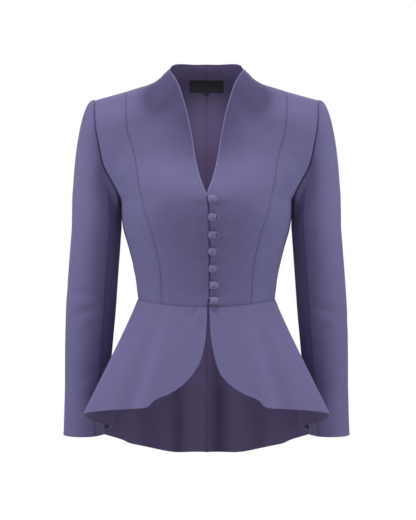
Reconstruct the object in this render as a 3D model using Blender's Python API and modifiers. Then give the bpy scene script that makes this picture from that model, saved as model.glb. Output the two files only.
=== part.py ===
"""Fitted peplum jacket with a grown-on stand collar, shown filled out as if worn.

Metres, +Z up, the front faces -Y. The origin lies between the neck points of the shoulders.
Every panel is a wall of cloth: an inner face worked out from the sections below, thickened outwards.
"""

import math

import bpy
import numpy as np
from mathutils import Vector
from mathutils.bvhtree import BVHTree

# Cloth
WALL = 0.0015
SEAM_GAP = 0.0003
WAIST_GAP = 0.0011
SHOULDER_GAP = 0.00015

# Sections of the body, inner face: one row for each height
# columns: height, half width, front y, back y, side y
BODY_SECTIONS = (
    (-0.420, 0.1255, -0.1040, 0.0835, 0.000),
    (-0.394, 0.1245, -0.1035, 0.0830, 0.000),
    (-0.350, 0.1300, -0.1075, 0.0875, 0.001),
    (-0.300, 0.1415, -0.1180, 0.0970, 0.003),
    (-0.260, 0.1525, -0.1285, 0.1050, 0.005),
    (-0.235, 0.1556, -0.1340, 0.1080, 0.006),
    (-0.212, 0.1562, -0.1365, 0.1100, 0.006),
    (-0.200, 0.1632, -0.1350, 0.1108, 0.006),
    (-0.170, 0.1865, -0.1265, 0.1125, 0.0065),
    (-0.140, 0.2095, -0.1180, 0.1130, 0.007),
    (-0.100, 0.2300, -0.1130, 0.1080, 0.008),
    (-0.050, 0.2450, -0.1070, 0.0960, 0.009),
    (0.000, 0.2500, -0.0960, 0.0820, 0.010),
    (0.050, 0.2500, -0.0780, 0.0735, 0.012),
)
FRONT_FULLNESS = 0.85
BACK_FULLNESS = 0.80
BUST_X = 0.088
BUST_Z = -0.208
BUST_RISE = 0.008
BUST_WIDTH = 0.050
BUST_HEIGHT = 0.060
# Hollow where the collar rises out of the shoulder
HOLLOW_X = 0.094
HOLLOW_Z = -0.034
HOLLOW_DEPTH = 0.010
HOLLOW_WIDTH = 0.020
HOLLOW_HEIGHT = 0.030

# Shoulder line from the collar's top corner to the armhole, continued inwards over the neck
# columns: x, height
SHOULDER_LINE = (
    (0.0000, 0.2000),
    (0.0300, 0.1100),
    (0.0500, 0.0615),
    (0.0600, 0.0415),
    (0.0686, 0.0287),
    (0.0759, 0.0220),
    (0.0833, 0.0140),
    (0.0925, 0.0070),
    (0.1036, 0.0014),
    (0.1220, -0.0043),
    (0.1600, -0.0156),
    (0.2048, -0.0277),
    (0.2500, -0.0410),
)
COLLAR_CORNER_X = 0.0686
SHOULDER_END_X = 0.2048
SHOULDER_Y = 0.010
FRONT_SHOULDER_ROUND = 0.070
BACK_SHOULDER_ROUND = 0.085

# Seams and edges of the bodice in the front view; columns: x, height
UNDERARM_Z = -0.212
V_BOTTOM_Z = -0.206
PRINCESS_SEAM = (
    (0.0786, -0.400),
    (0.0820, -0.337),
    (0.0873, -0.309),
    (0.0968, -0.270),
    (0.1085, -0.236),
    (0.1188, -0.188),
    (0.1277, -0.134),
    (0.1410, -0.086),
    (0.1465, -0.012),
)
NECK_EDGE = (
    (0.0006, -0.206),
    (0.0070, -0.190),
    (0.0141, -0.167),
    (0.0195, -0.142),
    (0.0239, -0.113),
    (0.0321, -0.070),
    (0.0415, -0.034),
    (0.0530, -0.001),
    (0.0646, 0.0205),
    (0.0686, 0.0287),
)
COLLAR_TOP = (
    (0.0000, 0.0495),
    (0.0350, 0.0485),
    (0.0547, 0.0440),
    (0.0620, 0.0385),
    (0.0686, 0.0287),
)
ARMHOLE = (
    (0.1562, -0.212),
    (0.1610, -0.196),
    (0.1715, -0.176),
    (0.1860, -0.147),
    (0.1920, -0.118),
    (0.1970, -0.094),
    (0.2015, -0.060),
    (0.2048, -0.0277),
)
WAIST_Z = -0.394
WAIST_FRONT_DIP = 0.0115
WAIST_BACK_RISE = 0.004

# Front opening: an edge-to-edge slit that the loops close
# columns: height, middle x, half width
SLIT = (
    (-0.4060, 0.0032, 0.0021),
    (-0.3800, 0.0052, 0.0016),
    (-0.3300, 0.0056, 0.0022),
    (-0.2600, 0.0052, 0.0022),
    (-0.2250, 0.0036, 0.0022),
    (-0.2060, 0.0004, 0.0006),
)

# Rows and columns of the panels' grids
LOWER_ROWS = 10
UPPER_ROWS = 10
FRONT_COLUMNS = 7
SIDE_COLUMNS = 6
COLLAR_COLUMNS = 5

# Sleeve sections below the armhole, inner face
# columns: height, centre x, centre y, half width, half depth
SLEEVE_SECTIONS = (
    (-0.260, 0.2035, 0.009, 0.0440, 0.0560),
    (-0.394, 0.2139, 0.018, 0.0444, 0.0500),
    (-0.480, 0.2198, 0.028, 0.0423, 0.0470),
    (-0.560, 0.2245, 0.037, 0.0390, 0.0430),
    (-0.650, 0.2312, 0.047, 0.0357, 0.0395),
)
SLEEVE_CAP_ROWS = 8
SLEEVE_ARM_ROWS = 10
SLEEVE_HEAD_OUT = 0.021
SLEEVE_HEAD_UP = 0.009
UNDERARM_DROP = 0.016
SLEEVE_GAP_TOP = 0.0010
SLEEVE_GAP_UNDERARM = 0.0036
UNDER_SLEEVE_FRONT = 3
UNDER_SLEEVE_FLAT = 0.80
SLEEVE_SEAM_GAP = 0.0005
UNDER_SLEEVE_BACK = 4

# Peplum: flare for each metre of drop, then hem and flutes
SIDE_FLARE = 0.46
FRONT_FLARE = 0.26
BACK_FLARE = 0.27
FLUTE_FULL_DROP = 0.21
FLUTE_GROWTH = 1.1
# columns: angle from centre front in degrees, outward swing at full drop, half width in degrees
FLUTES = (
    (29.5, 0.013, 6.0),
    (41.0, -0.010, 8.0),
    (71.0, 0.015, 12.0),
    (103.0, -0.046, 17.0),
    (127.0, 0.012, 8.0),
    (139.0, -0.009, 7.0),
    (151.5, 0.011, 8.0),
    (164.5, -0.010, 7.0),
    (180.0, 0.009, 8.0),
)
# Rounded front edges of the peplum; columns: half opening, height, middle x
PEPLUM_EDGE = (
    (0.0021, -0.4065, 0.0032),
    (0.0045, -0.4545, 0.0034),
    (0.0095, -0.4830, 0.0034),
    (0.0157, -0.5040, 0.0025),
    (0.0255, -0.5235, 0.0002),
)
# Hem from the end of the rounded edge to the centre back; columns: angle in degrees, height
PEPLUM_HEM = (
    (8.0, -0.5235),
    (13.0, -0.5420),
    (20.0, -0.5580),
    (27.0, -0.5680),
    (28.4, -0.5708),
    (30.2, -0.5800),
    (33.0, -0.5825),
    (40.0, -0.5855),
    (55.0, -0.5905),
    (70.0, -0.5990),
    (80.0, -0.6090),
    (90.0, -0.6230),
    (110.0, -0.6370),
    (130.0, -0.6590),
    (150.0, -0.6845),
    (165.0, -0.6975),
    (180.0, -0.7025),
)
PEPLUM_ROWS = 10

# Buttons and loops
# columns: x, height, reach of the loop past the button's middle
BUTTONS = (
    (0.0101, -0.2150, 0.0090),
    (0.0101, -0.2455, 0.0118),
    (0.0101, -0.2766, 0.0116),
    (0.0101, -0.3060, 0.0108),
    (0.0111, -0.3365, 0.0104),
    (0.0130, -0.3662, 0.0090),
    (0.0137, -0.3945, 0.0106),
)
BUTTON_RADIUS = 0.0072
BUTTON_DOME = 0.0052
SHANK_RADIUS = 0.0019
SHANK_HEIGHT = 0.0042
LOOP_RADIUS = 0.0015
LOOP_LIFT = 0.0006
LOOP_HALF_GAP = 0.0046
LOOP_START_X = 0.0044
BUTTON_STEPS = 16

# Label inside the back neck
LABEL_WIDTH = 0.064
LABEL_HEIGHT = 0.023
LABEL_Z = 0.009
LABEL_WALL = 0.0010
TAB_WIDTH = 0.008
TAB_HEIGHT = 0.007

CLOTH_COLOUR = (0.135, 0.118, 0.245, 1.0)
BUTTON_COLOUR = (0.160, 0.135, 0.275, 1.0)
LABEL_COLOUR = (0.010, 0.008, 0.014, 1.0)


def smooth_through(rows):
    """A function that follows the rows' other columns smoothly along their first, without overshoot."""
    table = np.array(rows, float)
    key, values = table[:, 0], table[:, 1:]
    step = np.diff(key)
    slope = np.diff(values, axis=0) / step[:, None]
    tangent = np.zeros_like(values)
    tangent[0], tangent[-1] = slope[0], slope[-1]
    for i in range(1, len(key) - 1):
        before, after = slope[i - 1], slope[i]
        same = before * after > 0
        with np.errstate(divide="ignore", invalid="ignore"):
            mean = (step[i - 1] + step[i]) / (step[i] / before + step[i - 1] / after)
        tangent[i] = np.where(same, mean, 0.0)

    def follow(at):
        at = np.clip(np.asarray(at, float), key[0], key[-1])
        i = np.clip(np.searchsorted(key, at) - 1, 0, len(key) - 2)
        t = ((at - key[i]) / step[i])[..., None]
        h = step[i][..., None]
        return (
            (1 + 2 * t) * (1 - t) ** 2 * values[i]
            + t * (1 - t) ** 2 * h * tangent[i]
            + t * t * (3 - 2 * t) * values[i + 1]
            + t * t * (t - 1) * h * tangent[i + 1]
        )

    return follow


body_section = smooth_through(BODY_SECTIONS)
shoulder_height = smooth_through(SHOULDER_LINE)
sleeve_section = smooth_through([row for row in reversed(SLEEVE_SECTIONS)])
hem_height = smooth_through(PEPLUM_HEM)
slit = smooth_through(SLIT)


def path_through(points, count):
    """Evenly placed points on a smooth path through a short list of 2D points."""
    points = np.array(points, float)
    along = np.concatenate([[0], np.cumsum(np.linalg.norm(np.diff(points, axis=0), axis=1))])
    path = smooth_through(np.column_stack([along, points]))
    return path(np.linspace(0, along[-1], count))


def evenly(points_2d, points_3d, count):
    """The 2D points at equal steps along the 3D path that they make."""
    along = np.concatenate([[0], np.cumsum(np.linalg.norm(np.diff(points_3d, axis=0), axis=1))])
    at = np.linspace(0, along[-1], count + 1)
    return np.column_stack([np.interp(at, along, points_2d[:, c]) for c in (0, 1)])


# Body


def body_angle(x, z):
    """The angle from the centre line at which the section at height z reaches x."""
    half_width = body_section(z)[..., 0]
    return np.arcsin(np.clip(np.asarray(x) / half_width, -1, 1))


def body_point(angle, z, back):
    """A point of the body's inner face, on the half with positive x."""
    angle, z = np.broadcast_arrays(np.asarray(angle, float), np.asarray(z, float))
    half_width, front, rear, side = np.moveaxis(body_section(z), -1, 0)
    x = half_width * np.sin(angle)
    across = np.clip(np.cos(angle), 0, 1)
    if back:
        y = side + (rear - side) * across**BACK_FULLNESS
        rounding = BACK_SHOULDER_ROUND
    else:
        y = side + (front - side) * across**FRONT_FULLNESS
        y = y - BUST_RISE * np.exp(
            -(((x - BUST_X) / BUST_WIDTH) ** 2) - ((z - BUST_Z) / BUST_HEIGHT) ** 2
        )
        y = y + HOLLOW_DEPTH * np.exp(
            -(((x - HOLLOW_X) / HOLLOW_WIDTH) ** 2) - ((z - HOLLOW_Z) / HOLLOW_HEIGHT) ** 2
        )
        rounding = FRONT_SHOULDER_ROUND
    below = np.clip((shoulder_height(x)[..., 0] - z) / rounding, 0, 1)
    over = np.sqrt(np.clip(1 - (1 - below) ** 2, 0, 1))
    y = SHOULDER_Y + (y - SHOULDER_Y) * over
    return np.stack([x, y, z], axis=-1)


def waist_height(angle, back):
    across = np.cos(angle) ** 2
    return WAIST_Z + (WAIST_BACK_RISE if back else -WAIST_FRONT_DIP) * across


def seam_on_body(outline, count, back):
    """Even steps along a seam drawn in the front view, as angles and heights on the body."""
    flat = path_through(outline, 240)
    flat = np.column_stack([body_angle(flat[:, 0], flat[:, 1]), flat[:, 1]])
    return evenly(flat, body_point(flat[:, 0], flat[:, 1], back), count)


def waist_on_body(first_angle, last_angle, count, back):
    angle = np.linspace(first_angle, last_angle, 240)
    flat = np.column_stack([angle, waist_height(angle, back)])
    return evenly(flat, body_point(flat[:, 0], flat[:, 1], back), count)


def split_at(outline, z):
    """The outline's part below a height and its part above it, sharing the point at that height."""
    points = np.array(outline, float)
    x = float(np.interp(z, points[:, 1], points[:, 0]))
    low = [tuple(p) for p in points if p[1] < z - 1e-6]
    high = [tuple(p) for p in points if p[1] > z + 1e-6]
    return low + [(x, z)], [(x, z)] + high


def fill_patch(bottom, top, inner, outer):
    """A grid between four borders: the two ruled surfaces less the corners' own."""
    u = np.linspace(0, 1, len(bottom))[None, :, None]
    v = np.linspace(0, 1, len(inner))[:, None, None]
    ruled_up = (1 - v) * bottom[None] + v * top[None]
    ruled_across = (1 - u) * inner[:, None] + u * outer[:, None]
    corners = (1 - v) * ((1 - u) * bottom[0] + u * bottom[-1]) + v * (
        (1 - u) * top[0] + u * top[-1]
    )
    return ruled_up + ruled_across - corners


def inset(grid, first_column, last_column, first_row, last_row):
    """The grid with each border drawn in by the gap given for it."""
    out = grid.copy()

    def draw_in(border, neighbour, gap):
        step = neighbour - border
        return border + step * (gap / np.linalg.norm(step, axis=-1, keepdims=True))

    out[:, 0] = draw_in(out[:, 0], out[:, 1], first_column)
    out[:, -1] = draw_in(out[:, -1], out[:, -2], last_column)
    out[0] = draw_in(out[0], out[1], first_row)
    out[-1] = draw_in(out[-1], out[-2], last_row)
    return out


def slit_edge(z, side):
    """How far the front edge of one side lies from the centre line, towards its own side."""
    middle, half = np.moveaxis(slit(z), -1, 0)
    return half + side * middle


def front_borders(side):
    """The princess seam and the front and neck edges, as angles and heights."""
    low, high = split_at(PRINCESS_SEAM, V_BOTTOM_Z)
    low[0] = (low[0][0], float(waist_height(body_angle(low[0][0], low[0][1]), False)))
    high[-1] = (high[-1][0], float(shoulder_height(high[-1][0])[0]))
    princess = np.vstack([
        seam_on_body(low, LOWER_ROWS, False)[:-1],
        seam_on_body(high, UPPER_ROWS, False),
    ])
    heights = np.linspace(float(waist_height(0.0, False)), V_BOTTOM_Z, 40)
    edge = np.column_stack([slit_edge(heights, side), heights])
    front_edge = np.column_stack([edge[:, 0] / body_section(heights)[:, 0], heights])
    lower = evenly(front_edge, np.column_stack([edge[:, 0], edge[:, 1], 0 * heights]), LOWER_ROWS)
    upper = seam_on_body(NECK_EDGE, UPPER_ROWS, False)
    upper[0] = lower[-1]
    return princess, np.vstack([lower[:-1], upper])


def shoulder_border(first_x, last_x, count):
    x = np.linspace(first_x, last_x, 240)
    z = shoulder_height(x)[:, 0]
    flat = np.column_stack([body_angle(x, z), z])
    return evenly(flat, np.column_stack([x, 0 * x, z]), count)


def side_border(back):
    """The side seam and then the armhole."""
    start = (math.pi / 2, WAIST_Z)
    heights = np.linspace(WAIST_Z, UNDERARM_Z, 120)
    flat = np.column_stack([np.full(120, start[0]), heights])
    seam = evenly(flat, body_point(flat[:, 0], flat[:, 1], back), LOWER_ROWS)
    hole = seam_on_body(ARMHOLE, UPPER_ROWS, back)
    hole[0] = seam[-1]
    return np.vstack([seam[:-1], hole])


def centre_back_border():
    low = np.linspace(float(waist_height(0.0, True)), V_BOTTOM_Z, LOWER_ROWS + 1)
    high = np.linspace(V_BOTTOM_Z, COLLAR_TOP[0][1], UPPER_ROWS + 1)
    heights = np.concatenate([low[:-1], high])
    return np.column_stack([np.zeros(len(heights)), heights])


def bodice_grids(side):
    """Inner faces of the centre front, side front and back of one side, each as rows of points."""
    princess, edge = front_borders(side)
    outer_front, outer_back = side_border(False), side_border(True)
    princess_x = float(body_point(princess[-1, 0], princess[-1, 1], False)[0])
    neck_shoulder = shoulder_border(COLLAR_CORNER_X, princess_x, FRONT_COLUMNS)
    arm_shoulder = shoulder_border(princess_x, SHOULDER_END_X, SIDE_COLUMNS)
    front_waist = waist_on_body(edge[0, 0], princess[0, 0], FRONT_COLUMNS, False)
    side_waist = waist_on_body(princess[0, 0], math.pi / 2, SIDE_COLUMNS, False)
    front = fill_patch(front_waist, neck_shoulder, edge, princess)
    side_front = fill_patch(side_waist, arm_shoulder, princess, outer_front)
    collar = seam_on_body(COLLAR_TOP, COLLAR_COLUMNS, True)
    back_top = np.vstack([collar[:-1], neck_shoulder[:-1], arm_shoulder])
    back_waist = waist_on_body(0.0, math.pi / 2, len(back_top) - 1, True)
    back = fill_patch(back_waist, back_top, centre_back_border(), outer_back)
    half = SEAM_GAP / 2
    return {
        "front": inset(body_point(front[..., 0], front[..., 1], False), 0, half, 0, SHOULDER_GAP),
        "side_front": inset(
            body_point(side_front[..., 0], side_front[..., 1], False), half, half, 0, SHOULDER_GAP
        ),
        "back": inset(body_point(back[..., 0], back[..., 1], True), half, half, 0, SHOULDER_GAP),
        "front_waist": front_waist,
        "side_waist": side_waist,
        "back_waist": back_waist,
    }


# Sleeve


def armhole_loop():
    """The armhole from the underarm up the front to the shoulder and down the back."""
    front = side_border(False)[LOWER_ROWS:]
    back = side_border(True)[LOWER_ROWS:]
    up = body_point(front[:, 0], front[:, 1], False)
    down = body_point(back[:, 0], back[:, 1], True)[::-1]
    return np.vstack([up, down[1:-1]])


def sleeve_bulge(turn, seam_turn):
    """Share of the sleeve's depth at each turn, flattened from the front seam to the inner side."""
    round_share = np.sin(turn)
    across = (np.cos(seam_turn) - np.cos(turn)) / (np.cos(seam_turn) + 1)
    flat_share = np.sin(seam_turn) * (1 - across)
    mixed = (1 - UNDER_SLEEVE_FLAT) * round_share + UNDER_SLEEVE_FLAT * flat_share
    return np.where(turn > seam_turn, mixed, round_share)


def sleeve_grid():
    """Inner face of a whole sleeve: one column for each point of the armhole."""
    seam = armhole_loop()
    count = len(seam)
    lift = (seam[:, 2] - UNDERARM_Z) / (seam[UPPER_ROWS, 2] - UNDERARM_Z)
    gap = SLEEVE_GAP_UNDERARM + (SLEEVE_GAP_TOP - SLEEVE_GAP_UNDERARM) * lift
    seam[:, 0] += gap
    length = np.linalg.norm(np.roll(seam, -1, axis=0) - seam, axis=1)
    up = np.concatenate([[0], np.cumsum(length[:UPPER_ROWS])])
    down = np.concatenate([[0], np.cumsum(length[UPPER_ROWS:])])
    turn = np.concatenate([
        math.pi * (1 - up / up[-1]),
        -math.pi * down[1:-1] / down[-1],
    ])
    sections = np.array(SLEEVE_SECTIONS)
    arm_z = np.linspace(sections[0, 0], sections[-1, 0], SLEEVE_ARM_ROWS + 1)
    centre_x, centre_y, half_width, half_depth = np.moveaxis(sleeve_section(arm_z), -1, 0)
    arm = np.stack([
        centre_x[:, None] + half_width[:, None] * np.cos(turn),
        centre_y[:, None] - half_depth[:, None] * sleeve_bulge(turn, turn[UNDER_SLEEVE_FRONT]),
        np.repeat(arm_z[:, None], count, axis=1),
    ], axis=-1)
    bicep = arm[0]
    out = np.zeros_like(seam)
    out[:, 0] = SLEEVE_HEAD_OUT * lift
    out[:, 2] = SLEEVE_HEAD_UP * lift - UNDERARM_DROP * (1 - lift)
    back_up = np.zeros_like(seam)
    back_up[:, 2] = 0.58 * (seam[:, 2] - bicep[:, 2])
    t = np.linspace(0, 1, SLEEVE_CAP_ROWS + 1)[:, None, None]
    cap = (
        (1 - t) ** 3 * seam
        + 3 * t * (1 - t) ** 2 * (seam + out)
        + 3 * t * t * (1 - t) * (bicep + back_up)
        + t**3 * bicep
    )
    return np.vstack([cap[:-1], arm])


def sleeve_halves():
    """The sleeve's columns shared out between the upper and the under sleeve."""
    whole = sleeve_grid()
    count = whole.shape[1]
    first, last = UNDER_SLEEVE_FRONT, count - UNDER_SLEEVE_BACK
    half = SLEEVE_SEAM_GAP / 2
    upper = whole[:, first : last + 1]
    under = np.concatenate([whole[:, last:], whole[:, : first + 1]], axis=1)
    return {
        "upper_sleeve": inset(upper, half, half, 0, 0),
        "under_sleeve": inset(under, half, half, 0, 0),
    }


# Peplum


def peplum_point(angle, z):
    """A point of the peplum's inner face, on the half with positive x."""
    angle, z = np.broadcast_arrays(np.asarray(angle, float), np.asarray(z, float))
    back = angle > math.pi / 2
    on_body = np.where(back, math.pi - angle, angle)
    top_z = np.where(back, waist_height(on_body, True), waist_height(on_body, False))
    top = np.where(
        back[..., None], body_point(on_body, top_z, True), body_point(on_body, top_z, False)
    )
    drop = np.maximum(top_z - z, 0)
    flare = np.where(back, BACK_FLARE, FRONT_FLARE)
    x = top[..., 0] + SIDE_FLARE * drop * np.sin(angle)
    y = top[..., 1] - flare * drop * np.cos(angle)
    swing = np.zeros_like(x)
    for at, reach, width in FLUTES:
        swing += reach * np.exp(-(((np.degrees(angle) - at) / width) ** 2))
    swing *= (drop / FLUTE_FULL_DROP) ** FLUTE_GROWTH
    x = x + swing * np.sin(angle)
    y = y - swing * np.cos(angle)
    return np.stack([x, y, z], axis=-1)


def peplum_grids(side, bodice):
    """Inner faces of the front and back of one side's peplum, hem first, waist last."""
    front_top = np.vstack([bodice["front_waist"], bodice["side_waist"][1:]])
    back_top = bodice["back_waist"].copy()
    back_top[:, 0] = math.pi - back_top[:, 0]
    front_top[:, 1] -= WAIST_GAP
    back_top[:, 1] -= WAIST_GAP
    edge = path_through(PEPLUM_EDGE, PEPLUM_ROWS + 1)[::-1]
    half_width = body_section(WAIST_Z)[0] + SIDE_FLARE * (WAIST_Z - WAIST_FRONT_DIP - edge[:, 1])
    edge_x = edge[:, 0] + side * edge[:, 2]
    inner = np.column_stack([np.arcsin(edge_x / half_width), edge[:, 1]])
    inner[-1] = front_top[0]
    angle = np.linspace(inner[0, 0], math.pi / 2, 240)
    hem = np.column_stack([angle, hem_height(np.degrees(angle))[:, 0]])
    hem[0] = inner[0]
    hem = evenly(hem, peplum_point(hem[:, 0], hem[:, 1]), len(front_top) - 1)
    seam_z = np.linspace(hem[-1, 1], front_top[-1, 1], PEPLUM_ROWS + 1)
    side_seam = np.column_stack([np.full(PEPLUM_ROWS + 1, math.pi / 2), seam_z])
    front = fill_patch(hem, front_top, inner, side_seam)
    angle = np.linspace(math.pi / 2, math.pi, 240)
    back_hem = np.column_stack([angle, hem_height(np.degrees(angle))[:, 0]])
    back_hem = evenly(back_hem, peplum_point(angle, back_hem[:, 1]), len(back_top) - 1)
    centre_z = np.linspace(back_hem[-1, 1], back_top[0, 1], PEPLUM_ROWS + 1)
    centre = np.column_stack([np.full(PEPLUM_ROWS + 1, math.pi), centre_z])
    back = fill_patch(back_hem, back_top[::-1], side_seam, centre)
    half = SEAM_GAP / 2
    return {
        "peplum_front": inset(peplum_point(front[..., 0], front[..., 1]), 0, half, 0, 0),
        "peplum_back": inset(peplum_point(back[..., 0], back[..., 1]), half, half, 0, 0),
    }


# Blender objects


def clear_scene():
    for obj in list(bpy.data.objects):
        bpy.data.objects.remove(obj)


def material(name, colour, roughness):
    made = bpy.data.materials.new(name)
    made.use_nodes = True
    shader = made.node_tree.nodes["Principled BSDF"]
    shader.inputs["Base Color"].default_value = colour
    shader.inputs["Roughness"].default_value = roughness
    shader.inputs["Metallic"].default_value = 0.0
    return made


def add_object(name, data, collection, look):
    obj = bpy.data.objects.new(name, data)
    data.materials.append(look)
    collection.objects.link(obj)
    return obj


def grid_mesh(name, grid, turned):
    """An open surface of quads over rows of points."""
    rows, columns = grid.shape[:2]
    faces = []
    for r in range(rows - 1):
        for c in range(columns - 1):
            a = r * columns + c
            quad = (a, a + 1, a + columns + 1, a + columns)
            faces.append(quad[::-1] if turned else quad)
    mesh = bpy.data.meshes.new(name)
    mesh.from_pydata([tuple(p) for p in grid.reshape(-1, 3)], [], faces)
    mesh.shade_smooth()
    return mesh


def add_wall(name, grid, turned, thickness, collection, look):
    """A cloth panel: the inner face, thickened along its normals."""
    obj = add_object(name, grid_mesh(name, grid, turned), collection, look)
    wall = obj.modifiers.new("Wall", "SOLIDIFY")
    wall.thickness = thickness
    wall.offset = 1.0
    return obj


def mirrored(grid, side):
    out = grid.copy()
    out[..., 0] *= side
    return out


def add_panels(collection, look):
    sleeves = sleeve_halves()
    for side, word in ((1, "left"), (-1, "right")):
        bodice = bodice_grids(side)
        grids = {name: bodice[name] for name in ("front", "side_front", "back")}
        grids.update(sleeves)
        grids.update(peplum_grids(side, bodice))
        outward_as_built = {"front", "side_front", "peplum_front", "peplum_back"}
        for name, grid in grids.items():
            turned = (name in outward_as_built) != (side > 0)
            add_wall(f"{name}_{word}", mirrored(grid, side), turned, WALL, collection, look)


def front_frame(x, z):
    """A point of the left front's outer face near the slit, its outward normal and its upward tangent."""
    step = 0.002
    angle = float(body_angle(x, z))
    here = body_point(angle, z, False)
    up = body_point(angle, z + step, False) - body_point(angle, z - step, False)
    up = Vector(up).normalized()
    right = Vector((1.0, 0.0, 0.0))
    right = (right - up * right.dot(up)).normalized()
    normal = right.cross(up).normalized()
    return Vector(here) + normal * WALL, normal, up, right


def button_mesh():
    """Half profile of a covered button, from the top of its dome down to the foot of its shank."""
    dome_steps = 6
    profile = []
    for i in range(dome_steps + 1):
        turn = math.pi / 2 * i / dome_steps
        profile.append((BUTTON_RADIUS * math.sin(turn), SHANK_HEIGHT + BUTTON_DOME * math.cos(turn)))
    profile.append((BUTTON_RADIUS * 0.80, SHANK_HEIGHT - 0.0004))
    profile.append((SHANK_RADIUS, SHANK_HEIGHT - 0.0004))
    profile.append((SHANK_RADIUS, SEAM_GAP))
    profile.append((0.0, SEAM_GAP))
    mesh = bpy.data.meshes.new("covered_button")
    edges = [(i, i + 1) for i in range(len(profile) - 1)]
    mesh.from_pydata([(r, 0.0, h) for r, h in profile], edges, [])
    return mesh


def add_buttons(collection, look):
    for number, (x, z, reach) in enumerate(BUTTONS, 1):
        foot, normal, up, right = front_frame(x, z)
        obj = add_object(f"button_{number}", button_mesh(), collection, look)
        spin = obj.modifiers.new("Turned", "SCREW")
        spin.steps = BUTTON_STEPS
        spin.render_steps = BUTTON_STEPS
        spin.use_merge_vertices = True
        spin.merge_threshold = 0.00001
        obj.location = foot
        obj.rotation_mode = "QUATERNION"
        obj.rotation_quaternion = normal.to_track_quat("Z", "Y")


def loop_route(start, reach):
    """A loop's middle line beside its button: along the panel, up the panel and out from it."""
    height = LOOP_RADIUS + LOOP_LIFT
    straight = reach - LOOP_HALF_GAP - LOOP_RADIUS
    route = [(start, LOOP_HALF_GAP, height), (straight * 0.4, LOOP_HALF_GAP, height)]
    for i in range(9):
        turn = math.pi / 2 - math.pi * i / 8
        route.append((
            straight + LOOP_HALF_GAP * math.cos(turn),
            LOOP_HALF_GAP * math.sin(turn),
            height,
        ))
    return route + [(a, -b, h) for a, b, h in reversed(route[:2])]


def add_loops(collection, look):
    for number, (x, z, reach) in enumerate(BUTTONS, 1):
        foot, normal, up, right = front_frame(x, z)
        curve = bpy.data.curves.new(f"loop_{number}", "CURVE")
        curve.dimensions = "3D"
        curve.bevel_depth = LOOP_RADIUS
        curve.bevel_resolution = 2
        curve.use_fill_caps = True
        spline = curve.splines.new("POLY")
        route = [foot + right * a + up * b + normal * h for a, b, h in loop_route(LOOP_START_X - x, reach)]
        spline.points.add(len(route) - 1)
        for point, at in zip(spline.points, route):
            point.co = (*at, 1.0)
        add_object(f"loop_{number}", curve, collection, look)


def inside_of_backs():
    """Both backs' inner faces, each quad cut along both diagonals, for laying a label on them."""
    points, faces = [], []
    for side in (1, -1):
        mesh = grid_mesh("inside_of_back", mirrored(bodice_grids(side)["back"], side), False)
        for face in mesh.polygons:
            a, b, c, d = (v + len(points) for v in face.vertices)
            faces += [(a, b, c), (a, c, d), (a, b, d), (b, c, d)]
        points += [v.co.copy() for v in mesh.vertices]
        bpy.data.meshes.remove(mesh)
    return BVHTree.FromPolygons(points, faces)


def label_grid(cloth, width, height, middle_z, columns, rows):
    """Points of the inside of the back, drawn in from the cloth by the seam gap and a label's wall."""
    x = np.linspace(-width / 2, width / 2, columns + 1) + SEAM_GAP
    z = np.linspace(middle_z - height / 2, middle_z + height / 2, rows + 1)
    x, z = np.meshgrid(x, z)
    y = np.zeros_like(x)
    for at in np.ndindex(x.shape):
        y[at] = cloth.ray_cast(Vector((x[at], 0.0, z[at])), Vector((0.0, 1.0, 0.0)))[0].y
    return np.stack([x, y - SEAM_GAP - LABEL_WALL * 1.15, z], axis=-1)


def add_label(collection, look):
    cloth = inside_of_backs()
    label = label_grid(cloth, LABEL_WIDTH, LABEL_HEIGHT, LABEL_Z, 10, 3)
    add_wall("neck_label", label, True, LABEL_WALL, collection, look)
    tab_z = LABEL_Z - (LABEL_HEIGHT + TAB_HEIGHT) / 2 - SEAM_GAP
    tab = label_grid(cloth, TAB_WIDTH, TAB_HEIGHT, tab_z, 2, 2)
    add_wall("size_tab", tab, True, LABEL_WALL, collection, look)


def main():
    clear_scene()
    collection = bpy.data.collections.new("peplum_jacket")
    bpy.context.scene.collection.children.link(collection)
    cloth = material("suiting", CLOTH_COLOUR, 0.85)
    covered = material("covered_button", BUTTON_COLOUR, 0.75)
    woven = material("woven_label", LABEL_COLOUR, 0.60)
    add_panels(collection, cloth)
    add_buttons(collection, covered)
    add_loops(collection, cloth)
    add_label(collection, woven)


main()
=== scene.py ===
"""Fitted peplum jacket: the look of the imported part, with cloth at full detail.

Metres, +Z up, the front faces -Y. Shapes come from the same sections as the part's own source.
"""

import math

import bpy
import numpy as np
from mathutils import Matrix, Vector


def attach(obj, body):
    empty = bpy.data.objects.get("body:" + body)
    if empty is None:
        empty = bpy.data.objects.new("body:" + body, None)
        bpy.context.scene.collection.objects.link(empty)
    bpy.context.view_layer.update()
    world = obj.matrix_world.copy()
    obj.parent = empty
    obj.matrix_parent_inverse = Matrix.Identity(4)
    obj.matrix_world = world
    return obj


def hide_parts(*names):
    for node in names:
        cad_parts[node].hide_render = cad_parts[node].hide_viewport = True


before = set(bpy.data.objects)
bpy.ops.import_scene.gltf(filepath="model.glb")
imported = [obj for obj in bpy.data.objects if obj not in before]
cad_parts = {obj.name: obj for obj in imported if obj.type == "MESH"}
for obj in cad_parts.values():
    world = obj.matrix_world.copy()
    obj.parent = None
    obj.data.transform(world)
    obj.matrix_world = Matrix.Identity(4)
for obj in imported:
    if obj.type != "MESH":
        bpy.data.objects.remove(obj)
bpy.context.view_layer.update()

# Cloth
WALL = 0.0015
SEAM_GAP = 0.0003

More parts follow.
